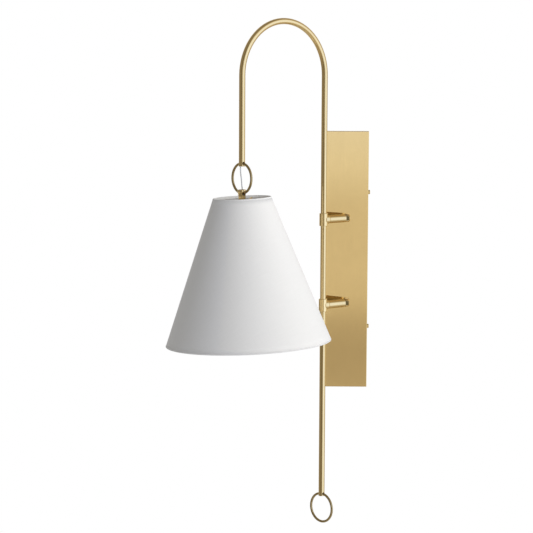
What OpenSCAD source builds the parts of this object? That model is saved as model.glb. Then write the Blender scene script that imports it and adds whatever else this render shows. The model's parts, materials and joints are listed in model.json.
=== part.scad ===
// Swing arm wall sconce. A tall backplate carries two knuckle-jointed posts, the posts carry
// one bent tube, and the tube carries a linen cone shade on a ring and a pull ring below.
// Frame: X to the right, Z up. The wall is the plane Y = 0 and the room lies at -Y.
// Origin: the centre of the backplate's rear opening, on the wall.

/* [Backplate] */
// Width of the backplate
plate_w = 71; // [66:1:120]
// Height of the backplate
plate_h = 430; // [320:1:600]
// Depth of the backplate, from the wall to its front face
plate_d = 22; // [22:1:30]
// Sheet thickness of the backplate
plate_t = 1.5; // [1:0.1:1.8]
// Bevel along the front edges of the backplate
plate_bevel = 0.7; // [0.3:0.1:0.9]
// Height of the mounting bracket behind the backplate
bracket_h = 270; // [250:1:310]
// Height of the side screws above and below the plate's centre
side_screw_z = 113; // [100:1:120]
// Spacing of the two junction box screws
box_screw_spacing = 83.3; // [70:0.1:100]

/* [Knuckles and posts] */
// Height of the posts above and below the plate's centre
post_z = 71; // [60:1:85]
// Distance from the plate's front face to the hinge axis
hinge_gap = 11; // [11:0.5:16]
// Diameter of the posts and of the bosses on the plate
post_dia = 13.4; // [13:0.1:15]
// Distance from the hinge axis to the tube's axis
post_reach = 52; // [45:1:90]
// Height of the slot between a boss's two ears
ear_slot = 6.4; // [6.2:0.1:7]
// Diameter of the pivot screws' plain ends
pivot_dia = 3; // [2.5:0.1:3.2]

/* [Arm tube] */
// Outer diameter of the tube
tube_dia = 10; // [10:0.1:10.4]
// Wall thickness of the tube
tube_wall = 0.9; // [0.8:0.05:1]
// Centreline radius of the arch
arch_r = 86.6; // [70:0.1:120]
// Height of the arch's centre above the plate's centre
arch_z = 307.4; // [280:0.1:400]
// Lower end of the long tube, below the plate's centre
tube_drop = 392.1; // [250:0.1:450]
// Lower end of the short leg, above the plate's centre
leg_low_z = 163.8; // [150:0.1:200]
// Diameter of the sleeve collars
collar_dia = 14.2; // [14:0.1:16]
// Height of the sleeve collars
collar_h = 21; // [16:1:26]

/* [Rings] */
// Centreline radius of the two rings
ring_r = 23.7; // [22:0.1:28]
// Diameter of the rings' wire
ring_wire = 4; // [3.5:0.1:4]
// Height of the hanger ring's cross hole above the short leg's end
cross_hole_rise = 4.8; // [4.5:0.1:8]
// Height of the pull ring's cross hole above the tube's lower end
pull_hole_rise = 3.6; // [3.5:0.1:8]
// Turn of the pull ring and its cross hole about the tube, in degrees
pull_turn = 5.4; // [-10:0.1:10]

/* [Shade] */
// Radius of the shade at the top
shade_top_r = 46.4; // [44:0.1:60]
// Radius of the shade at the bottom
shade_bottom_r = 132.4; // [110:0.1:140]
// Height of the shade
shade_h = 232.5; // [200:0.5:260]
// Drop from the ring's lowest point to the shade's top edge
shade_drop = 7; // [5:0.5:10]
// Thickness of the fabric
fabric_t = 0.6; // [0.5:0.1:0.8]
// Thickness of the stiff liner behind the fabric
liner_t = 0.5; // [0.4:0.1:0.7]

/* [Lamp holder] */
// Diameter of the hub at the top
hub_top_dia = 13.4; // [13:0.1:16]
// Diameter of the hub at the bottom
hub_low_dia = 11.3; // [11:0.1:13]
// Inner radius of the lamp holder's screw shell
socket_r = 13.3; // [13.2:0.05:13.6]
// Diameter of the lead
lead_dia = 1.9; // [1.6:0.1:2]

/* [Pose] */
// Swing of the arm to the left of the plate's normal, in degrees
swing_rest = 50; // [-60:1:60]
// Lean of the pendant on its ring, in degrees
hang_tilt = 2.75; // [0:0.25:3]

/* [Hidden] */
$fn = 64;

brass = [0.80, 0.68, 0.44];
brass_dark = [0.66, 0.54, 0.32];
steel = [0.72, 0.73, 0.75];
linen = [0.93, 0.93, 0.92];
lead_grey = [0.62, 0.62, 0.62];
phenolic = [0.12, 0.12, 0.13];
white_ceramic = [0.90, 0.89, 0.85];

tiny = 0.01;                      // overrun of a cut past a face
wall_y = 0;
face_y = -plate_d;                // front face of the backplate
inner_face_y = face_y + plate_t;  // inside of the front wall
hinge_y = face_y - hinge_gap;
pan_inner_w = plate_w - 2 * plate_t;

// Mounting bracket: a channel whose flanges take the side screws
bracket_t = 1.5;
bracket_w = pan_inner_w - 0.4;
flange_d = 15;
side_screw_y = -10;
side_screw_r = 2;
side_head_r = 3.6;
side_head_h = 3.2;
box_screw_r = 2.2;
wire_hole_r = 11;
wire_hole_z = -22;
ground_pos = [20, -100];          // X and Z of the earth screw
ground_boss_r = 4;
ground_boss_h = 3;

// Terminal block between the wire hole and the upper box screw
block_w = 26;
block_d = 13;
block_z0 = 15;
block_h = 16;
pole_pitch = 13;

// Knuckles
boss_r = post_dia / 2;
boss_root = 4;                    // solid length of a boss before its slot
stud_r = 5;
stud_end_y = inner_face_y + 5.5;
nut_flats = 16;
nut_h = 4;
washer_h = 1;
washer_r = 8.5;
lead_bore_r = 1.8;
tongue_t = ear_slot - 0.6;
tongue_r = boss_r - 2.3;
shoulder_x = boss_r + 0.5;        // where the round post begins
pivot_r = pivot_dia / 2;
pivot_gap = 0.05;                 // running clearance of the pivot screws
pivot_tip_z = 1.7;
pivot_head_r = 2.3;
pivot_head_h = 1.4;
pivot_head_z = boss_r - 0.1;
fan_half_angle = 65;              // room for the lead as the arm swings

// Arm, in the arm's own plane: x runs out from the hinge axis
tube_r = tube_dia / 2;
bore_r = tube_r - tube_wall;
tube_x = post_reach;
arch_x = tube_x + arch_r;
leg_x = arch_x + arch_r;
tube_low_z = -tube_drop;
collar_r = collar_dia / 2;
collar_bevel = 0.5;
spigot_r = 3.9;
spigot_len = 9;
post_flare = 1.3;
flare_x = tube_x - collar_r - 2.6;
set_screw_r = 2;
grommet_r = 2.5;

// Rings
wire_r = ring_wire / 2;
hanger_z = leg_low_z + cross_hole_rise;      // swing axis of the hanger ring
pull_z = tube_low_z + pull_hole_rise;        // swing axis of the pull ring
pendant_z = hanger_z - 2 * ring_r;           // swing axis of the pendant
sagitta = ring_r - sqrt(ring_r * ring_r - tube_r * tube_r);
tube_cross_r = wire_r + sagitta + 0.3;
hub_r = hub_top_dia / 2;
hub_cross_r = wire_r + ring_r - sqrt(ring_r * ring_r - hub_r * hub_r) + 0.6;

// Pendant, measured down from the ring's lowest point
hub_rise = 6;
hub_bottom = -16;
hub_bore_r = 4.3;
nipple_r = 4;
nipple_bore_r = 2.5;
nipple_top = -9;
nipple_bottom = -29;
spider_z = hub_bottom;
spider_t = 1.6;
spider_disc_r = 13;
spider_wire_r = 1.3;
spider_arms = 3;
spider_nut_h = 4;
cap_top = -24;
cap_t = 1.2;
cap_h = 20;
body_r = 16.2;
body_top = -30;
body_bottom = -78;
cavity_r = 14.3;
cavity_top = -46;
shell_t = 0.6;
shell_top = -48.5;
shell_bottom = -77.5;
shade_top = -shade_drop;
shade_bottom = shade_top - shade_h;
slope = (shade_bottom_r - shade_top_r) / shade_h;
hem_leg = 4;
hem_t = 0.4;
wire_clear = 1.9;
rim_wire_r = 1.5;

// Leads
lead_r = lead_dia / 2;
lead_sides = 8;
lead_offset = bore_r - lead_r - 0.1;         // beside the ring's wire, inside tube and hub
knuckle_gap = 1.2;                           // each lead stops this far from the hinge axis
entry_bend_r = 6.5;
// Free stretch inside the ring: offset from the leg's axis, height above the pendant's axis
ring_lead_route = [
    [3.1, 42.1], [3.0, 38], [2.5, 33], [1.8, 28], [1.1, 23],
    [0.5, 18], [0, 13], [-0.6, 8.5], [-1.4, 4.4]
];
// Lead inside the hub: it passes the ring's wire and enters the nipple
hub_lead_route = [
    [-1.9, 3.7], [-2.8, 2.4], [-3.1, 0.8], [-3.1, -2], [-2.6, -4.5],
    [-1.4, -6.8], [-0.4, -8.6], [0, -11], [0, body_top]
];

function arc(cx, cz, r, a0, a1, n) =
    [for (i = [0 : n]) let (a = a0 + (a1 - a0) * i / n) [cx + r * cos(a), cz + r * sin(a)]];

function shade_r(z) = shade_top_r + (shade_top - z) * slope;

function heading(p, i) =
    let (q = p[min(i + 1, len(p) - 1)] - p[max(i - 1, 0)]) q / norm(q);

// A round lead along a route in the XZ plane
module lead(route, r = lead_r, sides = lead_sides) {
    n = len(route);
    rings = [for (i = [0 : n - 1]) let (h = heading(route, i)) for (k = [0 : sides - 1])
        let (u = r * cos(360 * k / sides), v = r * sin(360 * k / sides))
        [route[i][0] - u * h[1], v, route[i][1] + u * h[0]]];
    skin = [for (i = [0 : n - 2]) for (k = [0 : sides - 1])
        let (a = i * sides + k, b = i * sides + (k + 1) % sides)
        [a, b, b + sides, a + sides]];
    first = [for (k = [sides - 1 : -1 : 0]) k];
    last = [for (k = [0 : sides - 1]) (n - 1) * sides + k];
    color(lead_grey) polyhedron(points = rings, faces = concat(skin, [first, last]));
}

// Frames
module arm_frame() translate([0, hinge_y, 0]) rotate([0, 0, 270 - swing_rest]) children();

module pendant_frame() {
    arm_frame() translate([leg_x, 0, pendant_z]) rotate([0, 0, swing_rest - 270])
        rotate([0, -hang_tilt, 0]) rotate([0, 0, 270 - swing_rest]) children();
}

// A cylinder along -Y, from y0 towards the room
module out_cylinder(r, y0, y1) {
    translate([0, y0, 0]) rotate([90, 0, 0]) cylinder(r = r, h = y0 - y1);
}

module block(low, high) translate(low) cube(high - low);

// ---- Wall side ----

module edge_cut(length) {
    rotate([0, 45, 0]) cube([plate_bevel * sqrt(2), length, plate_bevel * sqrt(2)], center = true);
}

module backplate_pan() {
    inner = [pan_inner_w / 2, plate_h / 2 - plate_t];
    color(brass) difference() {
        block([-plate_w / 2, face_y, -plate_h / 2], [plate_w / 2, wall_y, plate_h / 2]);
        block([-inner[0], inner_face_y, -inner[1]], [inner[0], wall_y + tiny, inner[1]]);
        for (side = [-1, 1]) {
            translate([side * plate_w / 2, face_y, 0]) rotate([90, 0, 0])
                edge_cut(plate_h + 1);
            translate([0, face_y, side * plate_h / 2]) rotate([0, 0, 90])
                edge_cut(plate_w + 1);
            translate([0, 0, side * post_z]) out_cylinder(stud_r + 0.1, inner_face_y + 1, face_y - 1);
            for (z = [-side_screw_z, side_screw_z])
                translate([side * plate_w / 2, side_screw_y, z]) rotate([0, 90, 0])
                    cylinder(r = side_screw_r + 0.2, h = 3 * plate_t, center = true);
        }
    }
}

module mounting_bracket() {
    half_w = bracket_w / 2;
    half_h = bracket_h / 2;
    color(steel) difference() {
        union() {
            block([-half_w, -bracket_t, -half_h], [half_w, wall_y, half_h]);
            for (side = [-1, 1])
                block([side > 0 ? half_w - bracket_t : -half_w, -flange_d, -half_h],
                      [side > 0 ? half_w : bracket_t - half_w, wall_y, half_h]);
            translate([ground_pos[0], 0, ground_pos[1]])
                out_cylinder(ground_boss_r, -bracket_t, -bracket_t - ground_boss_h);
        }
        translate([0, 0, wire_hole_z]) out_cylinder(wire_hole_r, 1, -bracket_t - 1);
        for (side = [-1, 1]) {
            translate([0, 0, side * box_screw_spacing / 2])
                out_cylinder(box_screw_r, 1, -bracket_t - 1);
            for (z = [-side_screw_z, side_screw_z])
                translate([side * half_w, side_screw_y, z]) rotate([0, 90, 0])
                    cylinder(r = side_screw_r, h = 4 * bracket_t, center = true);
        }
        translate([ground_pos[0], 0, ground_pos[1]])
            out_cylinder(side_screw_r, 1, -bracket_t - ground_boss_h - 1);
    }
}

module side_screw() {
    slot_w = 0.9;
    difference() {
        union() {
            rotate([0, -90, 0]) cylinder(r = side_screw_r, h = plate_t + 4);
            rotate([0, 90, 0]) cylinder(r = side_head_r, h = side_head_h - 0.7);
            translate([side_head_h - 0.7, 0, 0]) rotate([0, 90, 0])
                cylinder(r1 = side_head_r, r2 = side_head_r - 0.7, h = 0.7, $fn = 48);
        }
        translate([side_head_h, 0, 0]) cube([2, slot_w, 2 * side_head_r + 1], center = true);
    }
}

module side_screws() {
    color(brass) for (side = [0, 1], z = [-side_screw_z, side_screw_z])
        mirror([side, 0, 0]) translate([plate_w / 2, side_screw_y, z]) side_screw();
}

module ground_screw() {
    boss_face = -bracket_t - ground_boss_h;
    color("seagreen") translate([ground_pos[0], 0, ground_pos[1]]) {
        out_cylinder(side_screw_r, -0.3, boss_face);
        out_cylinder(5, boss_face, boss_face - 0.8);
        translate([0, boss_face - 0.8, 0]) rotate([90, 0, 0])
            cylinder(d = 7 / cos(30), h = 2.6, $fn = 6);
    }
}

module terminal_block() {
    wall = 1.5;
    color(white_ceramic) difference() {
        block([-block_w / 2, -bracket_t - block_d, block_z0],
              [block_w / 2, -bracket_t, block_z0 + block_h]);
        for (side = [-1, 1]) translate([side * pole_pitch / 2, 0, block_z0 + block_h / 2]) {
            out_cylinder(3, -bracket_t - 6, -bracket_t - block_d - 1);
            out_cylinder(1.6, -bracket_t - 4, -bracket_t - 6 - tiny);
            translate([0, -bracket_t - 4, 0])
                cylinder(r = 2, h = block_h + 1, center = true);
        }
        block([-0.5, -bracket_t - block_d - 1, block_z0 - 1],
              [0.5, -bracket_t - block_d + wall, block_z0 + block_h + 1]);
    }
}

module terminal_screws() {
    color(steel) for (side = [-1, 1])
        translate([side * pole_pitch / 2, 0, block_z0 + block_h / 2]) difference() {
            union() {
                out_cylinder(2.6, -bracket_t - 8.5, -bracket_t - 11);
                out_cylinder(1.4, -bracket_t - 4.5, -bracket_t - 8.5);
            }
            translate([0, -bracket_t - 11, 0]) cube([6, 1.6, 0.7], center = true);
        }
}

// Knuckle boss on the plate: a round stub with a domed end, cut by the slot into two ears
module wall_boss() {
    slot_y = face_y - boss_root;
    color(brass) difference() {
        union() {
            out_cylinder(boss_r, face_y, hinge_y);
            translate([0, hinge_y, 0]) sphere(r = boss_r);
            out_cylinder(stud_r, stud_end_y, face_y);
        }
        block([-boss_r - 1, hinge_y - boss_r - 1, -ear_slot / 2],
              [boss_r + 1, slot_y, ear_slot / 2]);
        out_cylinder(lead_bore_r, stud_end_y + 1, slot_y - 1);
        translate([0, hinge_y, 0]) {
            cylinder(r = pivot_r, h = 3 * boss_r, center = true);
            for (side = [0, 1]) mirror([0, 0, side])
                translate([0, 0, pivot_head_z - pivot_head_h])
                    cylinder(r = pivot_head_r + 0.1, h = pivot_head_h + 1);
        }
    }
}

module upper_wall_boss() translate([0, 0, post_z]) wall_boss();
module lower_wall_boss() translate([0, 0, -post_z]) wall_boss();

module boss_washers() {
    color(steel) for (side = [-1, 1]) translate([0, 0, side * post_z]) difference() {
        out_cylinder(washer_r, inner_face_y + washer_h, inner_face_y);
        out_cylinder(stud_r + 0.1, inner_face_y + 2, inner_face_y - 1);
    }
}

module boss_lock_nuts() {
    nut_y = inner_face_y + washer_h;
    color(steel) for (side = [-1, 1]) translate([0, 0, side * post_z]) difference() {
        translate([0, nut_y + nut_h, 0]) rotate([90, 0, 0])
            cylinder(d = nut_flats / cos(30), h = nut_h, $fn = 6);
        out_cylinder(stud_r, nut_y + nut_h + 1, nut_y - 1);
    }
}

module pivot_pair() {
    color(brass_dark) translate([0, hinge_y, 0]) for (side = [0, 1]) mirror([0, 0, side])
        difference() {
            union() {
                translate([0, 0, pivot_tip_z])
                    cylinder(r = pivot_r, h = pivot_head_z - pivot_head_h - pivot_tip_z);
                translate([0, 0, pivot_head_z - pivot_head_h])
                    cylinder(r = pivot_head_r, h = pivot_head_h);
            }
            translate([0, 0, pivot_head_z]) cube([0.6, 2 * pivot_head_r + 1, 1.2], center = true);
        }
}

module upper_pivot_screws() translate([0, 0, post_z]) pivot_pair();
module lower_pivot_screws() translate([0, 0, -post_z]) pivot_pair();

module plate_lead() {
    rise_y = 6;
    bend_r = 9;
    block_top = block_z0 + block_h;
    route = concat(
        [[rise_y, block_top], [rise_y, block_top + 12]],
        arc(rise_y + bend_r, post_z - bend_r, bend_r, 180, 90, 6),
        [[-hinge_y - knuckle_gap, post_z]]
    );
    rotate([0, 0, -90]) lead(route);
}

// ---- Swinging arm, built in the arm's plane ----

module post() {
    end_x = tube_x;
    color(brass) difference() {
        union() {
            cylinder(r = tongue_r, h = tongue_t, center = true);
            block([0, -tongue_r, -tongue_t / 2], [shoulder_x + 1, tongue_r, tongue_t / 2]);
            rotate([0, 90, 0]) rotate_extrude() polygon(concat(
                [[0, shoulder_x], [boss_r - 0.4, shoulder_x], [boss_r, shoulder_x + 0.4]],
                [for (a = [0 : 15 : 90])
                    [boss_r + post_flare * (1 - cos(a)), flare_x + 2 * post_flare * sin(a)]],
                [[boss_r + post_flare, end_x], [0, end_x]]
            ));
        }
        translate([tube_x, 0, 0]) cylinder(r = collar_r, h = 4 * boss_r, center = true);
        cylinder(r = pivot_r + pivot_gap, h = 4 * boss_r, center = true);
        rotate([0, 90, 0]) cylinder(r = lead_bore_r, h = tube_x);
        translate([tube_x - collar_r - spigot_len, 0, 0]) rotate([0, 90, 0])
            cylinder(r = spigot_r, h = spigot_len + collar_r);
        linear_extrude(2 * lead_bore_r, center = true) polygon([
            [lead_bore_r, 0],
            [-tongue_r * cos(fan_half_angle), tongue_r * sin(fan_half_angle) + 1],
            [-2 * tongue_r, 2 * tongue_r], [-2 * tongue_r, -2 * tongue_r],
            [-tongue_r * cos(fan_half_angle), -tongue_r * sin(fan_half_angle) - 1]
        ]);
    }
}

module upper_post() arm_frame() translate([0, 0, post_z]) post();
module lower_post() arm_frame() translate([0, 0, -post_z]) post();

module collar() {
    color(brass) difference() {
        union() {
            rotate_extrude() polygon([
                [0, -collar_h / 2], [collar_r - collar_bevel, -collar_h / 2],
                [collar_r, collar_bevel - collar_h / 2], [collar_r, collar_h / 2 - collar_bevel],
                [collar_r - collar_bevel, collar_h / 2], [0, collar_h / 2]
            ]);
            translate([-collar_r - spigot_len, 0, 0]) rotate([0, 90, 0])
                cylinder(r = spigot_r, h = spigot_len + 1);
        }
        cylinder(r = tube_r, h = collar_h + 2, center = true);
        translate([-collar_r - spigot_len - 1, 0, 0]) rotate([0, 90, 0])
            cylinder(r = lead_bore_r, h = spigot_len + collar_r);
        translate([0, 0, -collar_h / 4]) rotate([90, 0, 0])
            cylinder(r = set_screw_r, h = collar_r + 1);
    }
}

module upper_collar() arm_frame() translate([tube_x, 0, post_z]) collar();
module lower_collar() arm_frame() translate([tube_x, 0, -post_z]) collar();

module collar_set_screws() {
    color(brass_dark) arm_frame() for (z = [-post_z, post_z])
        translate([tube_x, 0, z - collar_h / 4]) difference() {
            translate([0, -tube_r - 0.1, 0]) rotate([90, 0, 0])
                cylinder(r = set_screw_r, h = collar_r - tube_r - 0.3);
            translate([0, -collar_r, 0]) rotate([90, 0, 0])
                cylinder(r = 1, h = 2, center = true, $fn = 6);
        }
}

module tube_section() {
    difference() {
        circle(r = tube_r);
        circle(r = bore_r);
    }
}

module arm_tube() {
    color(brass) arm_frame() difference() {
        union() {
            translate([tube_x, 0, tube_low_z])
                linear_extrude(arch_z - tube_low_z) tube_section();
            translate([leg_x, 0, leg_low_z])
                linear_extrude(arch_z - leg_low_z) tube_section();
            translate([arch_x, 0, arch_z]) rotate([90, 0, 0]) rotate_extrude(angle = 180)
                translate([arch_r, 0]) tube_section();
        }
        for (p = [[leg_x, hanger_z, 0], [tube_x, pull_z, pull_turn]])
            translate([p[0], 0, p[1]]) rotate([90, 0, p[2]])
                cylinder(r = tube_cross_r, h = 2 * tube_dia, center = true);
        translate([tube_x - tube_r, 0, post_z]) rotate([0, 90, 0])
            cylinder(r = grommet_r, h = 4, center = true);
    }
}

module lead_grommet() {
    color(phenolic) arm_frame() translate([tube_x, 0, post_z]) difference() {
        intersection() {
            translate([-tube_r, 0, 0]) rotate([0, 90, 0])
                cylinder(r = grommet_r, h = tube_wall + 1);
            cylinder(r = tube_r, h = 10, center = true);
        }
        rotate([0, -90, 0]) cylinder(r = lead_r + 0.45, h = tube_dia);
    }
}

module arm_lead() {
    riser_x = tube_x + 1.5;
    arch_lead_r = arch_x - riser_x;
    route = concat(
        [[knuckle_gap, post_z]],
        arc(riser_x - entry_bend_r, post_z + entry_bend_r, entry_bend_r, -90, 0, 6),
        arc(arch_x, arch_z, arch_lead_r, 180, 0, 36),
        [[leg_x + lead_offset, hanger_z + 12], [leg_x + lead_offset, hanger_z + 8],
         [leg_x + lead_offset, leg_low_z]]
    );
    arm_frame() lead(route);
}

// ---- Rings ----

module ring() {
    color(brass) rotate([0, 90, 0]) rotate_extrude() translate([ring_r, 0]) circle(r = wire_r);
}

module hanger_ring() arm_frame() translate([leg_x, 0, hanger_z - ring_r]) ring();
module pull_ring() arm_frame()
    translate([tube_x, 0, pull_z - ring_r]) rotate([0, 0, pull_turn]) ring();
module ring_lead() arm_frame() translate([leg_x, 0, pendant_z]) lead(ring_lead_route);

// ---- Pendant, measured from the ring's lowest point ----

module hub() {
    color(brass) pendant_frame() difference() {
        rotate_extrude() polygon([
            [0, hub_bottom], [hub_low_dia / 2, hub_bottom], [hub_low_dia / 2, -5],
            [hub_r - 0.2, 1], [hub_r, 2.5], [hub_r, hub_rise - 0.8], [hub_r - 0.8, hub_rise],
            [0, hub_rise]
        ]);
        translate([0, 0, -8]) cylinder(r = hub_bore_r, h = hub_rise + 9);
        translate([0, 0, hub_bottom - 1]) cylinder(r = nipple_r, h = 9);
        rotate([90, 0, 0]) cylinder(r = hub_cross_r, h = 3 * hub_r, center = true);
    }
}

module pipe(outer_r, inner_r, top, bottom) {
    translate([0, 0, bottom]) difference() {
        cylinder(r = outer_r, h = top - bottom);
        translate([0, 0, -1]) cylinder(r = inner_r, h = top - bottom + 2);
    }
}

module threaded_nipple() {
    color(steel) pendant_frame() pipe(nipple_r, nipple_bore_r, nipple_top, nipple_bottom);
}

module spider_fitter() {
    ring_z = shade_top - 3.2;
    rim_r = shade_r(ring_z) - fabric_t - liner_t - hem_t - spider_wire_r - 0.3;
    root_r = spider_disc_r - 2;
    disc_z = spider_z - spider_t / 2;
    arm_len = norm([rim_r - root_r, ring_z - disc_z]);
    arm_rise = atan2(ring_z - disc_z, rim_r - root_r);
    color(brass) pendant_frame() {
        translate([0, 0, ring_z]) rotate_extrude() translate([rim_r, 0]) circle(r = spider_wire_r);
        pipe(spider_disc_r, nipple_r + 0.1, spider_z, spider_z - spider_t);
        for (k = [0 : spider_arms - 1]) rotate([0, 0, 90 + k * 360 / spider_arms])
            translate([root_r, 0, disc_z]) rotate([0, 90 - arm_rise, 0])
                cylinder(r = spider_wire_r, h = arm_len);
    }
}

module spider_nut() {
    color(steel) pendant_frame() translate([0, 0, spider_z - spider_t - spider_nut_h])
        difference() {
            cylinder(d = 14 / cos(30), h = spider_nut_h, $fn = 6);
            translate([0, 0, -1]) cylinder(r = nipple_r, h = spider_nut_h + 2);
        }
}

module socket_cap() {
    outer = body_r + 0.1 + cap_t;
    inner = body_r + 0.1;
    color(brass) pendant_frame() difference() {
        rotate_extrude() polygon([
            [nipple_r, cap_top], [outer - 4, cap_top], [outer - 1, cap_top - 1.5],
            [outer, cap_top - 4], [outer, cap_top - cap_h], [inner, cap_top - cap_h],
            [inner, cap_top - 4.2], [inner - 3.4, cap_top - cap_t], [nipple_r, cap_top - cap_t]
        ]);
        translate([0, 0, cap_top - 3]) cylinder(r = nipple_r, h = 4);
    }
}

module socket_body() {
    color(phenolic) pendant_frame() difference() {
        rotate_extrude() polygon([
            [0, body_top], [body_r - 3, body_top], [body_r, body_top - 3],
            [body_r, body_bottom + 1], [body_r - 0.6, body_bottom], [cavity_r, body_bottom],
            [cavity_r, cavity_top], [0, cavity_top]
        ]);
        for (side = [-1, 1]) translate([side * 8, 0, cavity_top - 1]) cylinder(r = 1.5, h = 9);
    }
}

module screw_shell() {
    color(brass_dark) pendant_frame()
        pipe(socket_r + shell_t, socket_r, shell_top, shell_bottom);
}

module centre_contact() {
    color(brass_dark) pendant_frame() translate([0, 0, cavity_top]) rotate([180, 0, 0]) {
        cylinder(r = 4.5, h = 0.8);
        translate([0, 0, 0.8]) cylinder(r1 = 3, r2 = 2, h = 1.4, $fn = 48);
    }
}

module socket_rivets() {
    color(steel) pendant_frame() for (side = [-1, 1]) translate([side * 8, 0, cavity_top]) {
        translate([0, 0, -0.9]) cylinder(r = 2.4, h = 0.9);
        cylinder(r = 1.5, h = 8);
    }
}

// A wall of the shade between two distances inward from its outer surface
module cone_wall(outer_in, inner_in) {
    pendant_frame() rotate_extrude($fn = 128) polygon([
        [shade_top_r - outer_in, shade_top], [shade_bottom_r - outer_in, shade_bottom],
        [shade_bottom_r - inner_in, shade_bottom], [shade_top_r - inner_in, shade_top]
    ]);
}

module shade_fabric() color(linen) cone_wall(0, fabric_t);
module shade_liner() color("white") cone_wall(fabric_t, fabric_t + liner_t);

// A turned hem: it caps the rim and runs hem_leg along both faces
module hem(rim_z, dir) {
    wall = fabric_t + liner_t;
    leg_z = rim_z + dir * hem_leg;
    lip_z = rim_z - dir * hem_t;
    rim_r = shade_r(rim_z);
    color(linen) pendant_frame() rotate_extrude($fn = 128) polygon([
        [rim_r, rim_z], [shade_r(leg_z), leg_z], [shade_r(leg_z) + hem_t, leg_z],
        [rim_r + hem_t, rim_z], [rim_r, lip_z], [rim_r - wall, lip_z],
        [rim_r - wall - hem_t, rim_z], [shade_r(leg_z) - wall - hem_t, leg_z],
        [shade_r(leg_z) - wall, leg_z], [rim_r - wall, rim_z]
    ]);
}

module top_hem() hem(shade_top, -1);
module bottom_hem() hem(shade_bottom, 1);

module bottom_wire() {
    z = shade_bottom + hem_leg + rim_wire_r + 0.3;
    color(steel) pendant_frame() translate([0, 0, z]) rotate_extrude($fn = 128)
        translate([shade_r(z) - fabric_t - liner_t - wire_clear, 0]) circle(r = rim_wire_r);
}

module pendant_lead() pendant_frame() lead(hub_lead_route);

backplate_pan();
mounting_bracket();
side_screws();
ground_screw();
terminal_block();
terminal_screws();
upper_wall_boss();
lower_wall_boss();
boss_washers();
boss_lock_nuts();
upper_pivot_screws();
lower_pivot_screws();
plate_lead();
upper_post();
lower_post();
upper_collar();
lower_collar();
collar_set_screws();
arm_tube();
lead_grommet();
arm_lead();
hanger_ring();
ring_lead();
hub();
threaded_nipple();
spider_fitter();
spider_nut();
socket_cap();
socket_body();
screw_shell();
centre_contact();
socket_rivets();
shade_liner();
shade_fabric();
top_hem();
bottom_hem();
bottom_wire();
pendant_lead();
pull_ring();
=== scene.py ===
import json
import math

import bmesh
import bpy
from mathutils import Matrix, Vector


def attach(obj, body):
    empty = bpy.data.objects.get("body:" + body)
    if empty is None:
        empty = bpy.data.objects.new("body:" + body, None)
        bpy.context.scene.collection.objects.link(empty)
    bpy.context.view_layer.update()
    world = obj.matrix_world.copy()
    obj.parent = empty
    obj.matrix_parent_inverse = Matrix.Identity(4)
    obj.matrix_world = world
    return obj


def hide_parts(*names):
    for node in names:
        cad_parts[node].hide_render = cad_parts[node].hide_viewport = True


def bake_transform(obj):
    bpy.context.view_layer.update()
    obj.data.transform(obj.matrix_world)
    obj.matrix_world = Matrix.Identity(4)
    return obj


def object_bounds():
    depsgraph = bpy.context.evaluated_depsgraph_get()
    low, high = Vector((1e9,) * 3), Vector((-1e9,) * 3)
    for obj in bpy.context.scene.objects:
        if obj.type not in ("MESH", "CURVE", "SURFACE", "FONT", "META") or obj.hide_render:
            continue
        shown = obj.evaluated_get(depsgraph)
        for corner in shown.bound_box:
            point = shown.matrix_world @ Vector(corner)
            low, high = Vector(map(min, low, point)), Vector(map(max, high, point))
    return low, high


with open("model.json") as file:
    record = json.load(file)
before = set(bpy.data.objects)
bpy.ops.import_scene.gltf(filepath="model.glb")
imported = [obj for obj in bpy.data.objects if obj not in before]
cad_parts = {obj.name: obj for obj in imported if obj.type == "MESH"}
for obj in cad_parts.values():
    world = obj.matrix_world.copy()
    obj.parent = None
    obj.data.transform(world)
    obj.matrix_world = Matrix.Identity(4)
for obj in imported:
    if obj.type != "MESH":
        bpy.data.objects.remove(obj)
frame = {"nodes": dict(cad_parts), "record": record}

CAD_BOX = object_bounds()
MM = 0.001
NODES = frame["nodes"]
RECORD = frame["record"]
JOINTS = {joint["name"]: joint for joint in RECORD["behaviour"]["joints"]}
MOUNTS = {mount["name"]: mount for mount in RECORD["mounts"]}
scene = bpy.context.scene


def place(joint):
    """Where a joint's axis passes."""
    return Vector(JOINTS[joint]["pos_m"])


# ---- Camera ----

CAMERA_AT = Vector((-0.1114, -3.2093, 0.3258))
CAMERA_YAW = math.radians(-0.405)
CAMERA_PITCH = math.radians(6.05)
CAMERA_ROLL = math.radians(-0.27)
CAMERA_LENS = 129.2
CAMERA_SENSOR = 36
CAMERA_REACH = 50


def make_camera():
    """The photograph's camera, turned by its yaw, pitch and roll."""
    yaw, pitch, roll = CAMERA_YAW, CAMERA_PITCH, CAMERA_ROLL
    forward = Vector((math.sin(yaw) * math.cos(pitch),
                      math.cos(yaw) * math.cos(pitch), -math.sin(pitch)))
    right = Vector((math.cos(yaw), -math.sin(yaw), 0))
    down = forward.cross(right)
    side = right * math.cos(roll) + down * math.sin(roll)
    up = right * math.sin(roll) - down * math.cos(roll)
    data = bpy.data.cameras.new("camera")
    data.sensor_width = CAMERA_SENSOR
    data.lens = CAMERA_LENS
    data.clip_end = CAMERA_REACH
    camera = bpy.data.objects.new("camera", data)
    scene.collection.objects.link(camera)
    turn = Matrix((side, up, -forward)).transposed().to_4x4()
    camera.matrix_world = Matrix.Translation(CAMERA_AT) @ turn
    scene.camera = camera


# ---- Node helpers ----

def put(tree, kind, inputs=None, **settings):
    """Adds a node. Inputs are values or sockets to link."""
    node = tree.nodes.new(kind)
    for key, value in settings.items():
        setattr(node, key, value)
    for key, value in (inputs or {}).items():
        if isinstance(value, bpy.types.NodeSocket):
            tree.links.new(value, node.inputs[key])
        else:
            node.inputs[key].default_value = value
    return node


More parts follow.
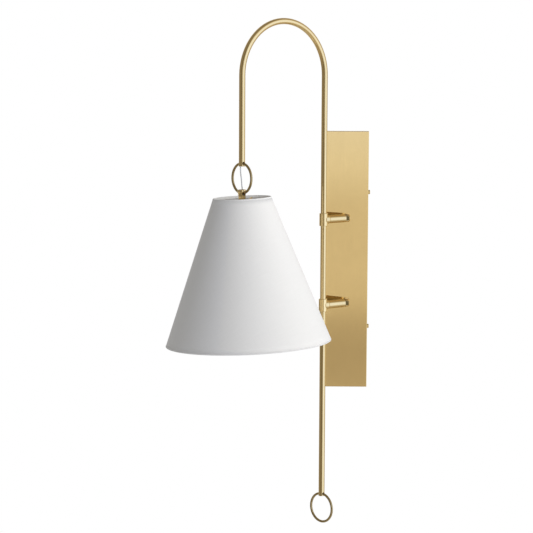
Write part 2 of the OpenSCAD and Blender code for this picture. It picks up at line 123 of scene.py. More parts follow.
def math_node(tree, operation, *values):
    return put(tree, "ShaderNodeMath", dict(enumerate(values)), operation=operation).outputs[0]


def grey(value):
    """A grey for a level. A colour stays as it is."""
    return (value,) * 3 if isinstance(value, (int, float)) else tuple(value[:3])


def ramp(tree, fac, stops):
    """A ColorRamp. Stops are (position, level or colour)."""
    node = put(tree, "ShaderNodeValToRGB", {"Fac": fac})
    elements = node.color_ramp.elements
    while len(elements) < len(stops):
        elements.new(0.5)
    for element, (position, value) in zip(elements, stops):
        element.position = position
        element.color = (*grey(value), 1)
    return node.outputs["Color"]


def mix(tree, fac, low, high, blend_type="MIX"):
    """A mix of two colours. Sockets 6, 7 and 2 are the node's colour inputs and output."""
    node = put(tree, "ShaderNodeMix", data_type="RGBA", blend_type=blend_type)
    for key, value in (("Factor", fac), (6, low), (7, high)):
        socket = node.inputs[key]
        if isinstance(value, bpy.types.NodeSocket):
            tree.links.new(value, socket)
        else:
            socket.default_value = value
    return node.outputs[2]


def wide_ramp(tree, value, stops, low, high):
    """A ramp over a value from low to high, whose levels or colours may be over 1."""
    fac = put(tree, "ShaderNodeMapRange", {
        "Value": value, "From Min": low, "From Max": high}).outputs[0]
    scale = max(max(grey(level)) for _, level in stops)
    scaled = [((stop - low) / (high - low), [c / scale for c in grey(level)])
              for stop, level in stops]
    return put(tree, "ShaderNodeVectorMath", {
        0: ramp(tree, fac, scaled), "Scale": scale}, operation="SCALE").outputs[0]


def degrees_ramp(tree, angle, stops, span):
    """A ramp over an angle, its stops in degrees from -span to span."""
    degrees = math_node(tree, "DEGREES", angle)
    return wide_ramp(tree, degrees, stops, -span, span)


# ---- World, light and floor ----

# The studio by compass: degrees to the right of the room's direction, and brightness
STUDIO_ROUND = [
    (-180, 0.95), (-150, 0.90), (-122, 0.24), (-100, 0.22), (-80, 0.34), (-56, 0.34), (-34, 0.20),
    (-3, 0.18), (8, 0.22), (16, 0.30), (24, 1.35), (86, 1.35), (100, 0.60), (150, 0.60), (180, 0.95),
]
# Brightness straight into the room by height in degrees, with the dark edge of a table
STUDIO_FRONT = [
    (-30, 0.60), (-9.6, 0.60), (-9.1, 0.54), (-7.9, 0.53), (-7.65, 0.60), (-7.45, 0.76), (-6.8, 0.81),
    (-4.2, 0.82), (-3.75, 0.88), (-3.3, 0.94), (-2.5, 1.03), (-1, 1.05), (12, 0.9), (30, 0.5),
]
# Where that view straight into the room shows, by compass
FRONT_PATCH = [(-3, 0), (-1.5, 1), (6, 1), (8, 0)]
# Ceiling and ground, and the heights over which they take the walls' place
STUDIO_TOP = (0.30, 0.30, 0.30, 1)
STUDIO_BELOW = (0.50, 0.50, 0.50, 1)
TO_TOP = [(25, 0), (60, 1)]
TO_BELOW = [(-50, 1), (-16, 0)]
# Colour of the light that metal mirrors, by level: warm where it is dim, cool where it is bright
MIRRORED = [
    (0.0, 0.0), (0.2, (0.20, 0.195, 0.185)), (0.5, (0.51, 0.475, 0.43)), (0.78, (0.787, 0.76, 0.72)),
    (1.0, (0.98, 1.02, 1.12)), (1.4, (1.20, 1.45, 2.15)),
]
# Share of the level that lights matt surfaces, without the mirrored colour
SOFT_SHARE = 1.26
WHITE_LIGHT = (1, 1, 1, 1)


def make_world():
    """The studio that the lamp mirrors, behind a white background for the camera."""
    world = bpy.data.worlds.new("studio")
    world.use_nodes = True
    tree = world.node_tree
    tree.nodes.clear()
    way = put(tree, "ShaderNodeTexCoord").outputs["Generated"]
    part = put(tree, "ShaderNodeSeparateXYZ", {"Vector": way})
    x, y, z = (part.outputs[k] for k in "XYZ")
    compass = math_node(tree, "ARCTAN2", x, math_node(tree, "MULTIPLY", y, -1.0))
    height = math_node(tree, "ARCSINE", z)
    round_light = degrees_ramp(tree, compass, STUDIO_ROUND, 180)
    front_light = degrees_ramp(tree, height, STUDIO_FRONT, 90)
    to_room = degrees_ramp(tree, compass, FRONT_PATCH, 180)
    level = mix(tree, to_room, round_light, front_light)
    level = mix(tree, degrees_ramp(tree, height, TO_TOP, 90), level, STUDIO_TOP)
    level = mix(tree, degrees_ramp(tree, height, TO_BELOW, 90), level, STUDIO_BELOW)
    mirrored = wide_ramp(tree, level, MIRRORED, MIRRORED[0][0], MIRRORED[-1][0])
    rays = put(tree, "ShaderNodeLightPath").outputs
    soft = put(tree, "ShaderNodeVectorMath", {
        0: level, "Scale": SOFT_SHARE}, operation="SCALE").outputs[0]
    light = mix(tree, rays["Is Diffuse Ray"], mirrored, soft)
    studio = put(tree, "ShaderNodeBackground", {"Color": light})
    white = put(tree, "ShaderNodeBackground", {"Color": WHITE_LIGHT})
    both = put(tree, "ShaderNodeMixShader",
               {0: rays["Is Camera Ray"], 1: studio.outputs[0], 2: white.outputs[0]})
    put(tree, "ShaderNodeOutputWorld", {"Surface": both.outputs[0]})
    scene.world = world
    scene.view_settings.view_transform = "Standard"


KEY_AT = Vector((2.3, -2.4, 1.5))
KEY_TARGET = Vector((-0.15, -0.18, 0))
KEY_SIZE = 2.4
KEY_WATTS = 28


def make_key_light():
    """A large soft light from the right that metal doesn't mirror."""
    data = bpy.data.lights.new("key", "AREA")
    data.shape = "SQUARE"
    data.size = KEY_SIZE
    data.energy = KEY_WATTS
    light = bpy.data.objects.new("key", data)
    scene.collection.objects.link(light)
    light.location = KEY_AT
    light.rotation_euler = (KEY_TARGET - KEY_AT).to_track_quat("-Z", "Y").to_euler()
    light.visible_glossy = False


FLOOR_R = 1.0
FLOOR_DROP = 0.75
FLOOR_SIDES = 96
FLOOR_PAINT = (0.86, 0.86, 0.85, 1)
FLOOR_ROUGHNESS = 0.7


def make_floor():
    """A round floor below the lamp, clear when it is seen from underneath."""
    bpy.ops.mesh.primitive_circle_add(
        vertices=FLOOR_SIDES, radius=FLOOR_R, fill_type="NGON",
        location=(0, 0, CAD_BOX[0].z - FLOOR_DROP))
    floor = bpy.context.object
    floor.name = "floor"
    paint = bpy.data.materials.new("floor_paint")
    paint.use_nodes = True
    tree = paint.node_tree
    shader = tree.nodes["Principled BSDF"]
    shader.inputs["Base Color"].default_value = FLOOR_PAINT
    shader.inputs["Roughness"].default_value = FLOOR_ROUGHNESS
    under = put(tree, "ShaderNodeNewGeometry").outputs["Backfacing"]
    clear = put(tree, "ShaderNodeBsdfTransparent")
    both = put(tree, "ShaderNodeMixShader", {
        0: under, 1: shader.outputs[0], 2: clear.outputs[0]})
    tree.links.new(both.outputs[0], tree.nodes["Material Output"].inputs["Surface"])
    floor.data.materials.append(paint)


make_camera()
make_world()
make_floor()
make_key_light()


# ---- Materials ----

def same(value):
    """A scale that is the same along X, Y and Z."""
    return (value, value, value)


def material(name):
    """A new material, its node tree and its shader."""
    made = bpy.data.materials.new(name)
    made.use_nodes = True
    return made, made.node_tree, made.node_tree.nodes["Principled BSDF"]


def coords(tree, scale, kind="Object", rotation=(0, 0, 0)):
    """Coordinates fixed to the piece, in metres times scale."""
    source = put(tree, "ShaderNodeTexCoord").outputs[kind]
    return put(tree, "ShaderNodeMapping", {
        "Vector": source, "Scale": scale, "Rotation": rotation}).outputs["Vector"]


def noise(tree, vector, detail, roughness=0.55, distortion=0.0):
    return put(tree, "ShaderNodeTexNoise", {
        "Vector": vector, "Scale": 1.0, "Detail": detail, "Roughness": roughness,
        "Distortion": distortion}).outputs["Fac"]


def bump(tree, height, distance):
    return put(tree, "ShaderNodeBump", {
        "Height": height, "Distance": distance, "Strength": 1.0}).outputs["Normal"]


def set_shader(tree, shader, **inputs):
    """Sets the shader's sockets, underscores standing for spaces."""
    for key, value in inputs.items():
        socket = shader.inputs[key.replace("_", " ")]
        if isinstance(value, bpy.types.NodeSocket):
            tree.links.new(value, socket)
        else:
            socket.default_value = value


def darker(color, share):
    return tuple(c * share for c in color[:3]) + (1,)


def brass(name, color, rough, grain, anisotropic=0.0, depth=0.004):
    """Brass. Grain is the scale of its brush lines along X, Y and Z."""
    made, tree, shader = material(name)
    cloud = noise(tree, coords(tree, same(14)), 4.0, 0.6, 0.6)
    lines = noise(tree, coords(tree, grain), 2.0, 0.6)
    patina = ramp(tree, cloud, [(0.3, darker(color, 0.96)), (0.7, color)])
    lined = ramp(tree, lines, [(0.3, 0.955), (0.7, 1.0)])
    smear = noise(tree, coords(tree, (45, 45, 30)), 5.0, 0.65, 1.2)
    set_shader(
        tree, shader,
        Base_Color=mix(tree, 1.0, patina, lined, "MULTIPLY"),
        Metallic=1.0,
        Roughness=ramp(tree, smear, [(0.35, rough), (0.75, rough * 1.25)]),
        Normal=bump(tree, lines, depth * MM),
    )
    if anisotropic:
        set_shader(tree, shader, Anisotropic=anisotropic)
        tangent = put(tree, "ShaderNodeTangent", direction_type="RADIAL", axis="Z")
        tree.links.new(tangent.outputs[0], shader.inputs["Tangent"])
    return made


def post_brass(name, color, rough, grain):
    """Brass whose knuckle tongue, near the hinge's axis, carries painted shade for the dark of the
    knuckle's slot, and is rougher.
    """
    made = brass(name, color, rough, grain)
    tree = made.node_tree
    shader = tree.nodes["Principled BSDF"]
    hinge = place("arm_swing")
    away = put(tree, "ShaderNodeVectorMath", {
        0: coords(tree, (1, 1, 0)), 1: (hinge.x, hinge.y, 0)},
        operation="DISTANCE").outputs["Value"]
    past_tongue = put(tree, "ShaderNodeMapRange", {
        "Value": away, "From Min": TONGUE_REACH - TONGUE_EDGE,
        "From Max": TONGUE_REACH}).outputs[0]
    # Near the hinge's axis: a painted shade colour for the slot, and a higher roughness
    for socket, in_slot in (("Base Color", SLOT_SHADE_BRASS), ("Roughness", TONGUE_ROUGHNESS)):
        plain = shader.inputs[socket].links[0].from_socket
        tree.links.new(mix(tree, past_tongue, in_slot, plain), shader.inputs[socket])
    return made


def plated(name, color, rough, spot_scale, spot_share):
    """Steel with the soft spots of zinc plating."""
    made, tree, shader = material(name)
    cells = put(tree, "ShaderNodeTexVoronoi", {
        "Vector": coords(tree, same(spot_scale)), "Scale": 1.0})
    spots = ramp(tree, cells.outputs["Color"], [(0.0, darker(color, spot_share)), (1.0, color)])
    fine = noise(tree, coords(tree, same(900)), 2.0)
    set_shader(
        tree, shader,
        Base_Color=spots,
        Metallic=1.0,
        Roughness=ramp(tree, cells.outputs["Distance"], [(0.0, rough), (1.0, rough * 1.5)]),
        Normal=bump(tree, fine, 0.002 * MM),
    )
    return made


def moulded(name, color, rough, depth, fleck):
    """Moulded plastic: a fine pebbled skin with faint flow marks as dark as fleck."""
    made, tree, shader = material(name)
    flow = noise(tree, coords(tree, (60, 60, 20)), 4.0, 0.6, 1.5)
    skin = noise(tree, coords(tree, same(2600)), 2.0)
    set_shader(
        tree, shader,
        Base_Color=ramp(tree, flow, [(0.3, darker(color, fleck)), (0.7, color)]),
        Roughness=ramp(tree, flow, [(0.3, rough * 0.85), (0.7, rough * 1.15)]),
        Normal=bump(tree, skin, depth * MM),
    )
    return made


# Bands of a wave texture in one unit of its coordinates, at scale 1
WAVES_PER_UNIT = 20 / (2 * math.pi)
WEAVE_PITCH = 0.55 * MM
SLUB_TONE = 0.035
BRAID_PITCH = 0.35 * MM
BRAID_ANGLE = 38


def threads(tree, pitch, direction, turn=0):
    """Parallel threads on the UV plane, 0 to 1, turned by degrees."""
    return put(tree, "ShaderNodeTexWave", {
        "Vector": coords(tree, same(1), "UV", (0, 0, math.radians(turn))),
        "Scale": 1 / pitch / WAVES_PER_UNIT, "Distortion": 0.0},
        bands_direction=direction).outputs["Fac"]


def linen(name, color):
    """Fine linen. UV holds the flat cut's coordinates in metres."""
    made, tree, shader = material(name)
    weave = math_node(tree, "MULTIPLY", *(threads(tree, WEAVE_PITCH, way) for way in "XY"))
    slub_x = noise(tree, coords(tree, (900, 38, 1), "UV"), 2.0, 0.6)
    slub_y = noise(tree, coords(tree, (38, 900, 1), "UV"), 2.0, 0.6)
    slubs = math_node(tree, "ADD", slub_x, slub_y)
    tone = ramp(tree, math_node(tree, "MULTIPLY", slubs, 0.5), [
        (0.35, darker(color, 1 - SLUB_TONE)), (0.65, color)])
    height = math_node(tree, "ADD", math_node(tree, "MULTIPLY", weave, 0.5), slubs)
    set_shader(
        tree, shader,
        Base_Color=tone,
        Roughness=ramp(tree, slubs, [(0.0, 0.88), (1.0, 0.96)]),
        Sheen_Weight=0.08,
        Sheen_Roughness=0.5,
        Specular_IOR_Level=0.12,
        Normal=bump(tree, height, 0.03 * MM),
    )
    return made


def braid(name, color, rough):
    """A braided sheath, painted darker where its strands dip: painted shade between the strands. UV
    holds metres round and along the lead.
    """
    made, tree, shader = material(name)
    over = math_node(tree, "MAXIMUM", *(
        threads(tree, BRAID_PITCH, "X", turn) for turn in (BRAID_ANGLE, -BRAID_ANGLE)))
    set_shader(
        tree, shader,
        Base_Color=ramp(tree, over, [(0.3, darker(color, 0.7)), (0.9, color)]),
        Metallic=0.2,
        Roughness=ramp(tree, over, [(0.0, rough * 1.3), (1.0, rough)]),
        Normal=bump(tree, over, 0.05 * MM),
    )
    return made


BRASS = (0.84, 0.615, 0.275, 1)
WHITE = (0.80, 0.80, 0.79, 1)
# Painted shade for the knuckle's slot on the tongue, out to TONGUE_REACH from the hinge's axis, and
# the tongue's roughness
SLOT_SHADE_BRASS = (0.135, 0.09, 0.028, 1)
TONGUE_ROUGHNESS = (0.38, 0.38, 0.38, 1)
TONGUE_REACH = 7.1 * MM
TONGUE_EDGE = 0.2 * MM
# Scales of brush lines along X, Y and Z
EVEN_GRAIN = same(1400)
PLATE_GRAIN = (2400, 2400, 14)
TUBE_GRAIN = (1400, 1400, 24)
MATERIALS = {
    "brass": brass("satin_brass", BRASS, 0.10, EVEN_GRAIN),
    "brass_plate": brass("brushed_brass_plate", BRASS, 0.075, PLATE_GRAIN, 0.9, 0.0015),
    # The tube's brass, painted a little darker: painted shade for its darker reflections
    "brass_tube": brass("drawn_brass_tube", darker(BRASS, 0.92), 0.10, TUBE_GRAIN),
    "brass_post": post_brass("post_brass", (0.76, 0.565, 0.26, 1), 0.12, EVEN_GRAIN),
    # The rings' brass, painted much darker: painted shade for their dim reflections
    "brass_ring": brass("ring_brass_painted_dark", darker(BRASS, 0.55), 0.30, EVEN_GRAIN),
    "brass_screw": brass("turned_brass_screws", darker(BRASS, 0.82), 0.20, same(1800)),
    "contact_metal": brass("rolled_shell_brass", (0.82, 0.67, 0.36, 1), 0.24, same(900)),
    "steel": plated("zinc_plated_steel", (0.62, 0.64, 0.67, 1), 0.30, 260, 0.88),
    "frame_wire": moulded("white_coated_wire", WHITE, 0.42, 0.02, 0.94),
    "earth_green": moulded("green_earth_screw", (0.03, 0.22, 0.07, 1), 0.35, 0.01, 0.8),
    "terminal_plastic": moulded(
        "ivory_terminal_block", (0.74, 0.72, 0.63, 1), 0.45, 0.02, 0.93),
    "phenolic": moulded("black_phenolic", (0.018, 0.017, 0.016, 1), 0.38, 0.03, 0.6),
    "linen": linen("white_linen", (0.81, 0.80, 0.78, 1)),
    "shade_backing": moulded("white_shade_film", WHITE, 0.55, 0.01, 0.96),
    "lead_sheath": braid("silver_lead_sheath", (0.72, 0.72, 0.72, 1), 0.30),
}
# Pieces whose material differs from their slot's, painted shade on the tube, rings and knuckle
# tongues among them
NODE_MATERIALS = {
    "backplate_pan": "brass_plate",
    "arm_tube": "brass_tube",
    "hanger_ring": "brass_ring",
    "pull_ring": "brass_ring",
    "upper_post": "brass_post",
    "lower_post": "brass_post",
}
SLOTS = {part["node"]: part["material_slot"] for part in RECORD["subparts"]}


def finish_nodes():
    """Gives every CAD piece its material."""
    for name, slot in SLOTS.items():
        NODES[name].data.materials.clear()
        NODES[name].data.materials.append(MATERIALS[NODE_MATERIALS.get(name, slot)])


# ---- Frames of the arm and the pendant ----

def arm_frames():
    """Matrices of the arm's plane and of the pendant: X runs out along the arm, Z up."""
    hinge, tube, leg = place("arm_swing"), place("pull_swing"), place("pendant_swing")
    outward = (leg - tube).xy
    turn = Matrix.Rotation(math.atan2(outward.y, outward.x), 4, "Z")
    up = -Vector(MOUNTS["lamp_socket"]["axis"])
    lean = Vector((0, 0, 1)).rotation_difference(up).to_matrix().to_4x4()
    arm = Matrix.Translation((hinge.x, hinge.y, 0)) @ turn
    return arm, Matrix.Translation(leg) @ lean @ turn


ARM, PENDANT = arm_frames()
LEG_X = (ARM.inverted() @ place("pendant_swing")).x
HANGER_Z = place("hanger_swing").z
PENDANT_Z = place("pendant_swing").z


# ---- Mesh helpers ----

def loft(rings, loop=False, caps=False):
    """Points and faces of a skin over rings. A loop joins the last ring to the first."""
    sides = len(rings[0])
    count = len(rings)
    points = [point for ring in rings for point in ring]
    faces = []
    for i in range(count if loop else count - 1):
        for k in range(sides):
            low, high = i * sides, (i + 1) % count * sides
            faces.append((low + k, low + (k + 1) % sides, high + (k + 1) % sides, high + k))
    if caps:
        faces.append(tuple(range(sides)))
        faces.append(tuple((count - 1) * sides + k for k in range(sides)))
    return points, faces


def turned_ring(radius, height, sides):
    """Points round the Z axis."""
    return [Vector((radius * math.cos(a), radius * math.sin(a), height))
            for a in (2 * math.pi * k / sides for k in range(sides))]


def arc(centre, radius, start, end, steps):
    """Points of an arc in a plane, with angles in degrees."""
    angles = [math.radians(start + (end - start) * i / steps) for i in range(steps + 1)]
    return [(centre[0] + radius * math.cos(a), centre[1] + radius * math.sin(a)) for a in angles]


def headings(path):
    """The direction of a plane path at each of its points."""
    ways = []
    for i in range(len(path)):
        way = Vector(path[min(i + 1, len(path) - 1)]) - Vector(path[max(i - 1, 0)])
        ways.append(way.normalized())
    return ways


def eased(path, steps):
    """A plane path made smooth: a Catmull-Rom curve, with steps from point to point."""
    points = [Vector(p) for p in path]
    smooth = []
    for i in range(len(points) - 1):
        before, a, b = points[max(i - 1, 0)], points[i], points[i + 1]
        after = points[min(i + 2, len(points) - 1)]
        for t in (k / steps for k in range(steps)):
            smooth.append(0.5 * (
                2 * a + (b - before) * t + (2 * before - 5 * a + 4 * b - after) * t ** 2
                + (3 * a - before - 3 * b + after) * t ** 3))
    return smooth + [points[-1]]


def ribbon(path, thickness):
    """The closed outline of a tape whose middle follows a plane path, its ends rounded."""
    half = thickness / 2
    ways = headings(path)
    left = [Vector(p) + half * Vector((-w.y, w.x)) for p, w in zip(path, ways)]
    right = [Vector(p) - half * Vector((-w.y, w.x)) for p, w in zip(path, ways)]
    first = Vector(path[0]) - half * ways[0]
    last = Vector(path[-1]) + half * ways[-1]
    return left + [last] + right[::-1] + [first]


def add_piece(name, body, slot, skin, matrix, uv=None, sharp=35, replaces=()):
    """A piece from a skin in a matrix's frame. UV gives each point's flat coordinates."""
    points, faces = skin
    mesh = bpy.data.meshes.new(name)
    mesh.from_pydata([matrix @ p for p in points], [], faces)
    if uv:
        layer = mesh.uv_layers.new(name="flat")
        for loop in mesh.loops:
            layer.data[loop.index].uv = uv[loop.vertex_index]
    work = bmesh.new()
    work.from_mesh(mesh)
    bmesh.ops.recalc_face_normals(work, faces=work.faces)
    work.to_mesh(mesh)
    work.free()
    mesh.shade_smooth()
    mesh.set_sharp_from_angle(angle=math.radians(sharp))
    mesh.materials.append(MATERIALS[slot])
    piece = bpy.data.objects.new(name, mesh)
    scene.collection.objects.link(piece)
    if body:
        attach(piece, body)
    if replaces:
        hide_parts(*replaces)
    return piece


def thicken(piece, thickness):
    """Gives a sheet its thickness, inwards."""
    solid = piece.modifiers.new("thickness", "SOLIDIFY")
    solid.thickness = thickness
    solid.offset = -1


# ---- The shade's fabric and hems, in the pendant's frame ----

# Sizes of the CAD model's shade, its top measured from the pendant's axis
SHADE_TOP_R = 46.4 * MM
SHADE_BOTTOM_R = 132.4 * MM
SHADE_H = 232.5 * MM
SHADE_TOP = -7 * MM
SHADE_BOTTOM = SHADE_TOP - SHADE_H
FABRIC_T = 0.6 * MM
LINER_T = 0.5 * MM
SHADE_SLOPE = (SHADE_BOTTOM_R - SHADE_TOP_R) / SHADE_H
SHADE_WALL = FABRIC_T + LINER_T
FITTER_WIRE_R = 1.3 * MM
FITTER_WIRE_DROP = 3.2 * MM
FITTER_WIRE_GAP = 0.7 * MM
CLOTH_T = 0.45 * MM
SEAM_W = 8 * MM
SEAM_RISE = 0.5 * MM
# Hem tape: its thickness, its height inside and outside, and its end below the fitter's wire
HEM_T = 0.35 * MM
HEM_LEG = 4 * MM
HEM_SHOWN = 1.6 * MM
HEM_TAIL = 2.4 * MM
CLOTH_SIDES = 192


def shade_r(height):
    """The cone's outer radius at a height."""
    return SHADE_TOP_R + (SHADE_TOP - height) * SHADE_SLOPE


def make_fabric():
    """The cone's cloth, cut as a sector and lapped at a seam that faces the wall."""
    rows, columns, lap_columns = 24, CLOTH_SIDES, 6
    lean = math.atan(SHADE_SLOPE)
    seam_angle = math.pi / 2 - math.atan2(PENDANT[1][0], PENDANT[0][0])
    points, flat = [], []
    for i in range(rows + 1):
        height = SHADE_TOP - SHADE_H * i / rows
        radius = shade_r(height)
        slant = radius / math.sin(lean)
        lap = SEAM_W / radius
        for k in range(columns + lap_columns + 1):
            over = max(0, k - columns) / lap_columns
            near = max(0, k - columns + lap_columns) / (2 * lap_columns)
            turn = 2 * math.pi * min(k, columns) / columns + lap * over
            climb = min(1, 2 * near)
            rise = SEAM_RISE * climb ** 2 * (3 - 2 * climb)
            angle = seam_angle + turn
            points.append(Vector((math.cos(angle) * (radius + rise),
                                  math.sin(angle) * (radius + rise), height)))
            cut = turn * math.sin(lean)
            flat.append((slant * math.sin(cut), -slant * math.cos(cut)))
    width = columns + lap_columns + 1
    faces = [(i * width + k, i * width + k + 1, (i + 1) * width + k + 1, (i + 1) * width + k)
             for i in range(rows) for k in range(width - 1)]
    cloth = add_piece("shade_cloth", "pendant", "linen", (points, faces), PENDANT, flat,
                      replaces=["shade_fabric"])
    thicken(cloth, CLOTH_T)
    return cloth


def turned_hem(name, path, node):
    """A linen tape turned round the shade's axis."""
    outline = ribbon(path, HEM_T)
    rings = [turned_ring(p.x, p.y, CLOTH_SIDES) for p in outline]
    run = [0.0]
    for a, b in zip(outline, outline[1:]):
        run.append(run[-1] + (b - a).length)
    middle_r = sum(p.x for p in outline) / len(outline)
    flat = [(2 * math.pi * middle_r * k / CLOTH_SIDES, along)
            for along in run for k in range(CLOTH_SIDES)]
    return add_piece(name, "pendant", "linen", loft(rings, loop=True), PENDANT, flat, 50, [node])


def make_top_hem():
    """It caps the rim and rolls in round the fitter's ring wire."""
    half = HEM_T / 2
    rim_x = shade_r(SHADE_TOP) - SHADE_WALL / 2
    rim_z = SHADE_TOP - SHADE_WALL / 2
    wire_z = SHADE_TOP - FITTER_WIRE_DROP
    wire_x = shade_r(wire_z) - SHADE_WALL - FITTER_WIRE_GAP - FITTER_WIRE_R
    low = SHADE_TOP - HEM_SHOWN
    tail = wire_z - HEM_TAIL
    path = [(shade_r(low) - half, low), (shade_r(rim_z) + half / 2, rim_z)]
    path += arc((rim_x, rim_z), SHADE_WALL / 2 + half, 20, 120, 8)
    path += arc((wire_x, wire_z), FITTER_WIRE_R + half, 70, 290, 18)
    path += [(shade_r(tail) - SHADE_WALL - half, tail)]
    return turned_hem("top_rolled_hem", path, "top_hem")


def make_bottom_hem():
    """It wraps the rim and runs up both faces."""
    half = HEM_T / 2
    rim_x = shade_r(SHADE_BOTTOM) - SHADE_WALL / 2
    rim_z = SHADE_BOTTOM + SHADE_WALL / 2
    outer_end = SHADE_BOTTOM + HEM_SHOWN
    inner_end = SHADE_BOTTOM + HEM_LEG
    path = [(shade_r(outer_end) - half, outer_end), (shade_r(rim_z) + half / 2, rim_z)]
    path += arc((rim_x, rim_z), SHADE_WALL / 2 + half, -20, -160, 10)
    path += [(shade_r(inner_end) - SHADE_WALL - half, inner_end)]
    return turned_hem("bottom_rolled_hem", path, "bottom_hem")


# ---- The lead ----

LEAD_R = 0.95 * MM
LEAD_CLEAR = 0.1 * MM
TUBE_BORE_R = 4.1 * MM
# How far the lead stands off the leg's axis, beside the ring's wire
LEAD_OFFSET = TUBE_BORE_R - LEAD_R - LEAD_CLEAR
# Upper knuckle: its height, and the gap that the lead leaves each side of the hinge's axis
POST_Z = 71 * MM
KNUCKLE_GAP = 1.2 * MM
# Behind the plate: the terminal block's top, the riser's distance from the wall, its height
BLOCK_TOP = 31 * MM
PLATE_RISER_Y = 6 * MM
PLATE_RISE = 12 * MM
PLATE_BEND_R = 9 * MM
# In the tube: the bend at its entry, the riser's shift off the tube's axis, the arch's centre
ENTRY_BEND_R = 6.5 * MM
RISER_SHIFT = 1.5 * MM
ARCH_Z = 307.4 * MM
# Heights in the short leg, measured from the ring's axis: two stops, then the leg's end
LEG_STOPS = [12 * MM, 8 * MM, -4.8 * MM]
# Routes in millimetres: distance out along the arm, and height over the pendant's axis
BARE_ROUTE = [
    (3.1, 42.1), (3.0, 38), (2.5, 33), (1.8, 28), (1.1, 23), (0.5, 18), (0, 13), (-0.6, 8.5),
    (-1.4, 4.4),
]
HUB_ROUTE = [
    (-1.9, 3.7), (-2.8, 2.4), (-3.1, 0.8), (-3.1, -2), (-2.6, -4.5), (-1.4, -6.8), (-0.4, -8.6),
    (0, -11), (0, -30),
]


def lead_skin(route, sides=14):
    """A round lead along a route in the XZ plane, and its UV: metres round and along."""
    rings, flat = [], []
    run = 0.0
    for i, (point, way) in enumerate(zip(route, headings(route))):
        run += (Vector(route[i]) - Vector(route[i - 1])).length if i else 0
        ring = []
        for k in range(sides):
            u = LEAD_R * math.cos(2 * math.pi * k / sides)
            v = LEAD_R * math.sin(2 * math.pi * k / sides)
            ring.append(Vector((point[0] - u * way.y, v, point[1] + u * way.x)))
            flat.append((LEAD_R * 2 * math.pi * min(k, sides - k) / sides, run))
        rings.append(ring)
    return loft(rings, caps=True), flat


def make_lead(name, body, route, matrix, node=None):
    """One stretch of lead, which stands for a CAD piece if one is named."""
    skin, flat = lead_skin(route)
    return add_piece(name, body, "lead_sheath", skin, matrix, flat, 60, [node] if node else ())


def smooth_route(route, steps):
    return eased([(x * MM, z * MM) for x, z in route], steps)


def make_plate_lead():
    """From the terminal block up and out to the upper knuckle."""
    hinge = place("arm_swing")
    out = Matrix.Translation((hinge.x, 0, 0)) @ Matrix.Rotation(-math.pi / 2, 4, "Z")
    route = [(PLATE_RISER_Y, BLOCK_TOP), (PLATE_RISER_Y, BLOCK_TOP + PLATE_RISE)]
    route += arc((PLATE_RISER_Y + PLATE_BEND_R, POST_Z - PLATE_BEND_R), PLATE_BEND_R, 180, 90, 10)
    route += [(-hinge.y - KNUCKLE_GAP, POST_Z)]
    make_lead("wall_lead", "backplate", route, out, "plate_lead")


def make_arm_lead():
    """Through the post, up the tube, round the arch and down the short leg."""
    tube_x = (ARM.inverted() @ place("pull_swing")).x
    riser_x = tube_x + RISER_SHIFT
    arch_x = (tube_x + LEG_X) / 2
    route = [(KNUCKLE_GAP, POST_Z)]
    route += arc((riser_x - ENTRY_BEND_R, POST_Z + ENTRY_BEND_R), ENTRY_BEND_R, -90, 0, 8)
    route += arc((arch_x, ARCH_Z), arch_x - riser_x, 180, 0, 48)
    route += [(LEG_X + LEAD_OFFSET, HANGER_Z + rise) for rise in LEG_STOPS]
    make_lead("tube_lead", "swing_arm", route, ARM, "arm_lead")


def make_bare_lead():
    """The stretch in the ring, in two halves split at the middle of its route."""
    route = smooth_route(BARE_ROUTE, 5)
    middle = len(route) // 2
    at_ring = ARM @ Matrix.Translation((LEG_X, 0, PENDANT_Z))
    halves = (("bare_lead_upper", route[:middle + 1], "swing_arm", "hanger", "ring_lead"),
              ("bare_lead_lower", route[middle:], "hanger", "pendant", None))
    for name, half, above, below, node in halves:
        piece = make_lead(name, None, half, at_ring, node)
        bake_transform(piece)


def make_leads():
    make_plate_lead()
    make_arm_lead()
    make_bare_lead()
    make_lead("hub_lead", "pendant", smooth_route(HUB_ROUTE, 3), PENDANT, "pendant_lead")


# ---- Threads, with heights from the pendant's axis ----

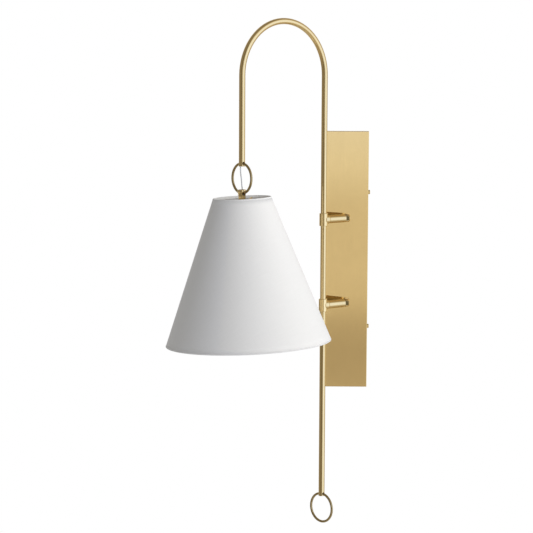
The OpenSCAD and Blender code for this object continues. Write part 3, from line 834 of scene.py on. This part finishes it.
SHELL_TOP = -48.5 * MM
SHELL_BOTTOM = -77.5 * MM
SHELL_R = 13.85 * MM
SHELL_T = 0.35 * MM
SHELL_THREAD = 0.75 * MM
SHELL_PITCH = 3.629 * MM
SHELL_LIP_R = 13.9 * MM
SHELL_LIP_H = 0.001 * MM
ROD_TOP = -9 * MM
ROD_BOTTOM = -29 * MM
ROD_R = 4 * MM
ROD_BORE_R = 2.5 * MM
ROD_THREAD = 0.4 * MM
ROD_PITCH = 1 * MM


def thread_rings(outer_r, depth, pitch, top, bottom, sides, rows_per_turn):
    """Rings whose radius follows a rounded helical thread, running out at both ends."""
    rows = round((top - bottom) / pitch * rows_per_turn)
    rings = []
    for i in range(rows + 1):
        height = top + (bottom - top) * i / rows
        fade = min(1, (top - height) / pitch, (height - bottom) / pitch)
        ring = []
        for angle in (2 * math.pi * k / sides for k in range(sides)):
            groove = 0.5 - 0.5 * math.cos(2 * math.pi * height / pitch - angle)
            radius = outer_r - depth * groove * fade
            ring.append(Vector((radius * math.cos(angle), radius * math.sin(angle), height)))
        rings.append(ring)
    return rings


def make_screw_shell():
    """The lamp holder's rolled shell: a thin sheet with the coarse lamp thread."""
    sides = 72
    rings = thread_rings(SHELL_R, SHELL_THREAD, SHELL_PITCH, SHELL_TOP, SHELL_BOTTOM, sides, 14)
    rings += [turned_ring(SHELL_LIP_R, SHELL_BOTTOM - SHELL_LIP_H, sides)]
    shell = add_piece("rolled_screw_shell", "pendant", "contact_metal", loft(rings), PENDANT,
                      replaces=["screw_shell"])
    thicken(shell, SHELL_T)


def make_nipple():
    """The hollow threaded rod that clamps hub, fitter, nut and cap."""
    sides = 40
    rings = thread_rings(ROD_R, ROD_THREAD, ROD_PITCH, ROD_TOP, ROD_BOTTOM, sides, 8)
    rings += [turned_ring(ROD_BORE_R, height, sides) for height in (ROD_BOTTOM, ROD_TOP)]
    add_piece("threaded_rod", "pendant", "steel", loft(rings, loop=True), PENDANT,
              sharp=50, replaces=["threaded_nipple"])


finish_nodes()
make_fabric()
make_top_hem()
make_bottom_hem()
make_leads()
make_screw_shell()
make_nipple()
